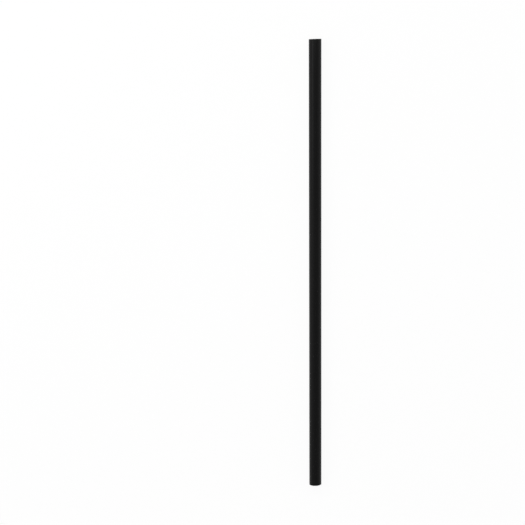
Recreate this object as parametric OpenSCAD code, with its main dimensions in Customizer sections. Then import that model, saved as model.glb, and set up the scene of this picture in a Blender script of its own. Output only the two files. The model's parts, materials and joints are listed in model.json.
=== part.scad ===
// A reusable drinking straw: one straight extruded tube, cut square at both ends.
// It lies on its side, as a straw comes to rest, with the mouth end towards +Y.
// The origin is on the surface that it lies on, under the middle of its length.

/* [Tube] */
// Length of the straw, from cut end to cut end
straw_length = 220; // [100:1:320]
// Outer diameter of the tube
outer_diameter = 6; // [4:0.1:12]
// Thickness of the tube's wall
wall = 0.4; // [0.3:0.05:1]

/* [Cut ends] */
// Radius of the softened outer edge of each cut end
outer_edge_radius = 0.12; // [0.02:0.01:0.15]
// Radius of the softened inner edge of each cut end
inner_edge_radius = 0.08; // [0.02:0.01:0.12]

/* [Hidden] */
outer_radius = outer_diameter / 2;
bore_radius = outer_radius - wall;
circle_facets = 96;
edge_facets = 32;

// Half section of the wall: the distance from the axis is x, the place along the tube is y.
module wall_section() {
    // The cut faces and the body between the rounded edges
    translate([bore_radius + inner_edge_radius, 0])
        square([wall - inner_edge_radius - outer_edge_radius, straw_length]);
    // The outer wall, as far as its rounded edges
    translate([outer_radius - outer_edge_radius, outer_edge_radius])
        square([outer_edge_radius, straw_length - 2 * outer_edge_radius]);
    // The bore's wall, as far as its rounded edges
    translate([bore_radius, inner_edge_radius])
        square([inner_edge_radius, straw_length - 2 * inner_edge_radius]);
    rounded_edges(outer_radius - outer_edge_radius, outer_edge_radius);
    rounded_edges(bore_radius + inner_edge_radius, inner_edge_radius);
}

// The round of one edge, at both ends of the tube
module rounded_edges(centre, radius) {
    for (place = [radius, straw_length - radius])
        translate([centre, place])
            circle(r = radius, $fn = edge_facets);
}

// The whole straw, laid along Y on the surface
module straw() {
    color("#1c1c1c")
        translate([0, -straw_length / 2, outer_radius])
            rotate([-90, 0, 0])
                rotate_extrude($fn = circle_facets)
                    wall_section();
}

straw();
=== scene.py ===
import json
import math

import bpy
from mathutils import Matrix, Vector


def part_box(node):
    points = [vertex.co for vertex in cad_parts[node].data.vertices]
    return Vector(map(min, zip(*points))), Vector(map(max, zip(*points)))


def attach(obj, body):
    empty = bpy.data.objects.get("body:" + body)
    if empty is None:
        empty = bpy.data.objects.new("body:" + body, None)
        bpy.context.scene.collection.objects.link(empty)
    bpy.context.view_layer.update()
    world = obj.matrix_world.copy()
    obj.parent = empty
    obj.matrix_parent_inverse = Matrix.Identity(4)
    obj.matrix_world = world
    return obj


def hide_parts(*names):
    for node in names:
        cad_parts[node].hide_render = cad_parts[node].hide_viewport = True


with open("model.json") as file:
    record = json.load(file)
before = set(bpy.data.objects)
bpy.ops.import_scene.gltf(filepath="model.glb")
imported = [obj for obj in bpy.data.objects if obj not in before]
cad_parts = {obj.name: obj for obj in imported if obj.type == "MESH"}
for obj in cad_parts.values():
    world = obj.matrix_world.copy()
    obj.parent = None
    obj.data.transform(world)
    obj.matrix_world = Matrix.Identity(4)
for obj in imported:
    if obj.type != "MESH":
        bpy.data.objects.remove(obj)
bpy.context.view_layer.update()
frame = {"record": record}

# The straw: one length of round tube, polypropylene coloured black in the mass. It is extruded
# through a ring-shaped die, which leaves fine lines along it inside and out, and it is cut to
# length by a turning knife, after which the edges of both cuts are softened for the mouth.
MM = 0.001
quarter_turn = math.radians(90)
straw_low, straw_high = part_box("straw")
straw_length = straw_high.y - straw_low.y
axis_centre = (straw_low + straw_high) / 2
mount_sizes = {mount["name"]: mount["dims"] for mount in frame["record"]["mounts"]}
outer_radius = mount_sizes["outside"]["r_mm"] * MM
bore_radius = mount_sizes["bore"]["r_mm"] * MM
wall = outer_radius - bore_radius
outer_edge_radius = 0.12 * MM
inner_edge_radius = 0.08 * MM
edge_segments = 5
cut_lean = math.radians(1.6)
sides = 240
rings = 11


def start_edit(piece):
    """Starts edit mode on one piece, with none of its mesh selected."""
    bpy.ops.object.select_all(action="DESELECT")
    piece.select_set(True)
    bpy.context.view_layer.objects.active = piece
    bpy.ops.object.mode_set(mode="EDIT")
    bpy.ops.mesh.select_mode(type="VERT")
    bpy.ops.mesh.select_all(action="DESELECT")


def select_where(piece, wanted):
    """Selects the vertices whose place passes the test. It is called in edit mode, and stays there."""
    bpy.ops.object.mode_set(mode="OBJECT")
    for vertex in piece.data.vertices:
        vertex.select = wanted(vertex.co)
    bpy.ops.object.mode_set(mode="EDIT")


def from_axis(place):
    """How far a place is from the tube's axis."""
    return math.hypot(place.x - axis_centre.x, place.z - axis_centre.z)


def from_middle(place):
    """How far along the tube a place is from its middle, less than 0 towards the -Y end."""
    return place.y - axis_centre.y


bpy.ops.object.select_all(action="DESELECT")
bpy.ops.mesh.primitive_cylinder_add(
    vertices=sides,
    radius=outer_radius,
    depth=straw_length,
    end_fill_type="NOTHING",
    location=axis_centre,
    rotation=(quarter_turn, 0, 0),
)
straw = bpy.context.object
straw.name = "straw_tube"
bpy.ops.object.transform_apply(location=True, rotation=True, scale=True)

# Rings divide the tube along its length, so that the die lines can wander a little
start_edit(straw)
for ring in range(1, rings + 1):
    ring_y = straw_low.y + straw_length * ring / (rings + 1)
    bpy.ops.mesh.select_all(action="SELECT")
    bpy.ops.mesh.bisect(plane_co=(0, ring_y, 0), plane_no=(0, 1, 0))
bpy.ops.object.mode_set(mode="OBJECT")

# The wall is drawn inwards from the outside, and the edges of both cuts are rounded
tube_wall = straw.modifiers.new("wall", "SOLIDIFY")
tube_wall.thickness = wall
tube_wall.offset = -1
tube_wall.use_even_offset = True
bpy.ops.object.modifier_apply(modifier=tube_wall.name)
for edge_circle, edge_radius in ((outer_radius, outer_edge_radius), (bore_radius, inner_edge_radius)):
    margin = edge_radius / 2
    start_edit(straw)
    select_where(
        straw,
        lambda place: abs(from_middle(place)) > straw_length / 2 - margin
        and abs(from_axis(place) - edge_circle) < margin,
    )
    bpy.ops.mesh.bevel(offset=edge_radius, segments=edge_segments, affect="EDGES")
    bpy.ops.object.mode_set(mode="OBJECT")

# The knife stands a little askew, so each cut leans back from one corner, the same way at both
# ends. Only the tips are turned, and with a minus, because this rotate turns the other way.
tip_length = 2 * outer_edge_radius
for end in (1, -1):
    hinge_y = end * (straw_length / 2 - outer_edge_radius)
    hinge = axis_centre + Vector((end * outer_radius, hinge_y, 0))
    start_edit(straw)
    select_where(straw, lambda place: from_middle(place) * end > straw_length / 2 - tip_length)
    bpy.ops.transform.rotate(value=-cut_lean, orient_axis="Z", center_override=hinge)
    bpy.ops.object.mode_set(mode="OBJECT")

# The die lines: shallow grooves that run along the tube, outside and in its bore. Real ones are
# 0.05 to 0.2 mm apart, and the mesh can hold them from about 0.45 mm. An empty stretches the noise
# that cuts them along the tube, and with its middle level at 1 the noise only cuts inwards.
die_line_depth = 0.004 * MM
die_line_spacing = 0.45 * MM
die_line_length = 180 * MM
bpy.ops.object.empty_add(location=axis_centre)
die = bpy.context.object
die.scale = (die_line_spacing, die_line_length, die_line_spacing)
die_noise = bpy.data.textures.new("die_lines", "CLOUDS")
die_noise.noise_scale = 1.0
die_noise.noise_depth = 1
die_lines = straw.modifiers.new("die_lines", "DISPLACE")
die_lines.texture = die_noise
die_lines.texture_coords = "OBJECT"
die_lines.texture_coords_object = die
die_lines.strength = die_line_depth
die_lines.mid_level = 1.0
bpy.context.view_layer.update()
bpy.ops.object.select_all(action="DESELECT")
straw.select_set(True)
bpy.context.view_layer.objects.active = straw
bpy.ops.object.modifier_apply(modifier=die_lines.name)
bpy.data.objects.remove(die)
bpy.data.textures.remove(die_noise)
bpy.ops.object.shade_smooth()


def linear(hex_colour):
    """Turns an sRGB hex value such as "#1a1a1a" to the linear colour that a shader takes."""
    colour = []
    for start in (1, 3, 5):
        level = int(hex_colour[start : start + 2], 16) / 255
        colour.append(level / 12.92 if level <= 0.04045 else ((level + 0.055) / 1.055) ** 2.4)
    return (*colour, 1.0)


def empty_material(name):
    """Makes a material that has no nodes yet."""
    material = bpy.data.materials.new(name)
    material.use_nodes = True
    material.node_tree.nodes.clear()
    return material


def add_node(tree, kind, values=None, links=None, **settings):
    """Adds a node: settings are its own, values go to its inputs, and links join inputs to outputs."""
    node = tree.nodes.new(kind)
    for name, setting in settings.items():
        setattr(node, name, setting)
    for name, value in (values or {}).items():
        node.inputs[name].default_value = value
    for name, output in (links or {}).items():
        tree.links.new(output, node.inputs[name])
    return node


# Extruded polypropylene, coloured black in the mass: a satin skin, whose highlight is soft and
# drawn out along the tube by the die lines.
polypropylene_ior = 1.49
skin_specular = 0.13
smoothest_skin = 0.34
roughest_skin = 0.5
# Most of a noise texture's values lie between these two
noise_low = 0.3
noise_high = 0.7
satin_black = empty_material("black_extruded_polypropylene")
tree = satin_black.node_tree
coordinates = add_node(tree, "ShaderNodeTexCoord")
# Real die lines are 0.05 to 0.2 mm apart, and are drawn 0.6 mm apart, which the render can show
streak_spacing = 0.6 * MM
streak_length = 90 * MM
streak_depth = 0.012 * MM
streak_places = add_node(
    tree,
    "ShaderNodeMapping",
    values={"Scale": (1 / streak_spacing, 1 / streak_length, 1 / streak_spacing)},
    links={"Vector": coordinates.outputs["Object"]},
)
streaks = add_node(
    tree,
    "ShaderNodeTexNoise",
    values={"Scale": 1.0, "Detail": 3.0, "Roughness": 0.6},
    links={"Vector": streak_places.outputs["Vector"]},
)
# The skin's grain is really about 0.03 mm, and is drawn at 0.12 mm, which a close view can show
grain_size = 0.12 * MM
grain_depth = 0.0015 * MM
grain = add_node(
    tree,
    "ShaderNodeTexNoise",
    values={"Scale": 1 / grain_size, "Detail": 2.0, "Roughness": 0.5},
    links={"Vector": coordinates.outputs["Object"]},
)
# The melt cools a little unevenly, which clouds the black softly over a centimetre or two
cloud_size = 14 * MM
clouds = add_node(
    tree,
    "ShaderNodeTexNoise",
    values={"Scale": 1 / cloud_size, "Detail": 2.0, "Roughness": 0.5},
    links={"Vector": coordinates.outputs["Object"]},
)
clouded_black = add_node(
    tree,
    "ShaderNodeMix",
    data_type="RGBA",
    values={"A": linear("#070707"), "B": linear("#0b0b0b")},
    links={"Factor": clouds.outputs["Fac"]},
)
skin_roughness = add_node(
    tree,
    "ShaderNodeMapRange",
    values={
        "From Min": noise_low,
        "From Max": noise_high,
        "To Min": smoothest_skin,
        "To Max": roughest_skin,
    },
    links={"Value": streaks.outputs["Fac"]},
)
streak_bump = add_node(
    tree,
    "ShaderNodeBump",
    values={"Strength": 1.0, "Distance": streak_depth},
    links={"Height": streaks.outputs["Fac"]},
)
grain_bump = add_node(
    tree,
    "ShaderNodeBump",
    values={"Strength": 1.0, "Distance": grain_depth},
    links={"Height": grain.outputs["Fac"], "Normal": streak_bump.outputs["Normal"]},
)
skin = add_node(
    tree,
    "ShaderNodeBsdfPrincipled",
    values={"IOR": polypropylene_ior, "Specular IOR Level": skin_specular},
    links={
        "Base Color": clouded_black.outputs["Result"],
        "Roughness": skin_roughness.outputs["Result"],
        "Normal": grain_bump.outputs["Normal"],
    },
)
add_node(tree, "ShaderNodeOutputMaterial", links={"Surface": skin.outputs["BSDF"]})
straw.data.materials.append(satin_black)

# The same plastic where the knife has cut it: duller than the skin and a shade greyer, with fine
# drag marks across the ring. Only the faces that look out of the two ends have it.
cut_specular = 0.3
smoothest_cut = 0.52
roughest_cut = 0.64
least_end_facing = 0.95
cut_black = empty_material("knife_cut_black_polypropylene")
tree = cut_black.node_tree
coordinates = add_node(tree, "ShaderNodeTexCoord")
# Real drag marks are about 0.02 mm apart, and are drawn 0.06 mm apart, which a close view can show
knife_mark_spacing = 0.06 * MM
knife_mark_length = 1.2 * MM
knife_mark_depth = 0.008 * MM
knife_path = math.radians(35)
knife_places = add_node(
    tree,
    "ShaderNodeMapping",
    values={
        "Rotation": (0, knife_path, 0),
        "Scale": (1 / knife_mark_length, 1.0, 1 / knife_mark_spacing),
    },
    links={"Vector": coordinates.outputs["Object"]},
)
knife_marks = add_node(
    tree,
    "ShaderNodeTexNoise",
    values={"Scale": 1.0, "Detail": 2.0, "Roughness": 0.6},
    links={"Vector": knife_places.outputs["Vector"]},
)
knife_bump = add_node(
    tree,
    "ShaderNodeBump",
    values={"Strength": 1.0, "Distance": knife_mark_depth},
    links={"Height": knife_marks.outputs["Fac"]},
)
cut_roughness = add_node(
    tree,
    "ShaderNodeMapRange",
    values={
        "From Min": noise_low,
        "From Max": noise_high,
        "To Min": smoothest_cut,
        "To Max": roughest_cut,
    },
    links={"Value": knife_marks.outputs["Fac"]},
)
cut = add_node(
    tree,
    "ShaderNodeBsdfPrincipled",
    values={
        "Base Color": linear("#171717"),
        "IOR": polypropylene_ior,
        "Specular IOR Level": cut_specular,
    },
    links={"Roughness": cut_roughness.outputs["Result"], "Normal": knife_bump.outputs["Normal"]},
)
add_node(tree, "ShaderNodeOutputMaterial", links={"Surface": cut.outputs["BSDF"]})
straw.data.materials.append(cut_black)
straw.active_material_index = straw.data.materials.find(cut_black.name)
start_edit(straw)
bpy.ops.mesh.select_mode(type="FACE")
bpy.ops.object.mode_set(mode="OBJECT")
for face in straw.data.polygons:
    face.select = abs(face.normal.y) > least_end_facing
bpy.ops.object.mode_set(mode="EDIT")
bpy.ops.object.material_slot_assign()
bpy.ops.object.mode_set(mode="OBJECT")
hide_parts("straw")
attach(straw, "root")

# The floor: a round sheet of smooth white board, which turns up in a low cove far from the straw,
# so that a low camera sees white behind it too. The straw lies on it and shades it softly.
floor_radius = 2.0
floor_sides = 96
cove_radius = 0.5
cove_steps = 8
upright_height = 0.4
bpy.ops.object.select_all(action="DESELECT")
bpy.ops.mesh.primitive_circle_add(vertices=floor_sides, radius=floor_radius, fill_type="NGON")
floor = bpy.context.object
floor.name = "floor"
rim_radius = floor_radius
rim_z = 0.0
for step in range(1, cove_steps + 2):
    turn = quarter_turn * min(step, cove_steps) / cove_steps
    next_radius = floor_radius + cove_radius * math.sin(turn)
    next_z = cove_radius * (1 - math.cos(turn)) + (upright_height if step > cove_steps else 0.0)
    growth = next_radius / rim_radius
    start_edit(floor)
    select_where(
        floor,
        lambda place: math.hypot(place.x, place.y) > rim_radius - MM and place.z > rim_z - MM,
    )
    bpy.ops.mesh.extrude_edges_move(TRANSFORM_OT_translate={"value": (0, 0, next_z - rim_z)})
    bpy.ops.transform.resize(value=(growth, growth, 1), center_override=(0, 0, 0))
    bpy.ops.object.mode_set(mode="OBJECT")
    rim_radius = next_radius
    rim_z = next_z
bpy.ops.object.shade_smooth()

# Coated white board: an even, matt white with no gloss. Seen straight, mirrored or through
# something clear, it is mostly pure white, and the rest is as it is lit, which keeps the shadow.
white_share = 0.92
white_board = empty_material("white_board")
tree = white_board.node_tree
board = add_node(tree, "ShaderNodeBsdfDiffuse", values={"Color": linear("#fafafa")})
white = add_node(tree, "ShaderNodeEmission", values={"Color": linear("#ffffff"), "Strength": 1.0})
rays = add_node(tree, "ShaderNodeLightPath")
seen_or_mirrored = add_node(
    tree,
    "ShaderNodeMath",
    operation="MAXIMUM",
    links={0: rays.outputs["Is Camera Ray"], 1: rays.outputs["Is Glossy Ray"]},
)
seen = add_node(
    tree,
    "ShaderNodeMath",
    operation="MAXIMUM",
    links={0: seen_or_mirrored.outputs["Value"], 1: rays.outputs["Is Transmission Ray"]},
)
whiteness = add_node(
    tree,
    "ShaderNodeMath",
    operation="MULTIPLY",
    values={1: white_share},
    links={0: seen.outputs["Value"]},
)
board_seen = add_node(
    tree,
    "ShaderNodeMixShader",
    links={0: whiteness.outputs["Value"], 1: board.outputs["BSDF"], 2: white.outputs["Emission"]},
)
add_node(tree, "ShaderNodeOutputMaterial", links={"Surface": board_seen.outputs["Shader"]})
floor.data.materials.append(white_board)

# The light: three soft boxes and a dim, even room. The left box makes the straw's long highlight,
# the right one lifts its other flank, and the high one shines down from beyond its +Y end. None is
# low beyond an end, where a low look along the straw would find it mirrored white in its top.
room_light = 0.53
room = bpy.data.worlds.new("room")
room.use_nodes = True
background = room.node_tree.nodes["Background"]
background.inputs["Color"].default_value = linear("#ffffff")
background.inputs["Strength"].default_value = room_light
bpy.context.scene.world = room


def soft_box(name, place, width, height, radiance):
    """A rectangular lamp at a place, turned to the straw, as bright as a surface of this radiance."""
    aim = axis_centre - Vector(place)
    bpy.ops.object.light_add(type="AREA", location=place)
    lamp = bpy.context.object
    lamp.name = name
    lamp.rotation_euler = aim.to_track_quat("-Z", "Y").to_euler()
    lamp.data.shape = "RECTANGLE"
    lamp.data.size = width
    lamp.data.size_y = height
    lamp.data.energy = radiance * math.pi * width * height
    lamp.visible_camera = False


soft_box("left_box", (-0.45, 0.2, 0.44), width=0.7, height=0.25, radiance=2.2)
soft_box("right_box", (0.7, 0.2, 0.35), width=0.7, height=0.4, radiance=0.45)
soft_box("high_box", (0, 0.9, 1.1), width=0.9, height=0.7, radiance=3.5)

# The camera: it looks down on the lying straw from 0.7 m, a little past the +Y end, and the straw
# is right of the middle of the picture.
camera_height = 0.7
camera_past_end = 0.0115
camera_tilt = math.radians(-9.664)
camera_pan = math.radians(2.035)
camera_roll = math.radians(-0.385)
sensor_width_mm = 36
lens_mm = 99.98
bpy.ops.object.camera_add(
    location=(axis_centre.x, straw_high.y + camera_past_end, axis_centre.z + camera_height),
    rotation=(camera_tilt, camera_pan, camera_roll),
)
camera = bpy.context.object
camera.data.sensor_width = sensor_width_mm
camera.data.lens = lens_mm
bpy.context.scene.camera = camera
bpy.context.scene.view_settings.view_transform = "Standard"
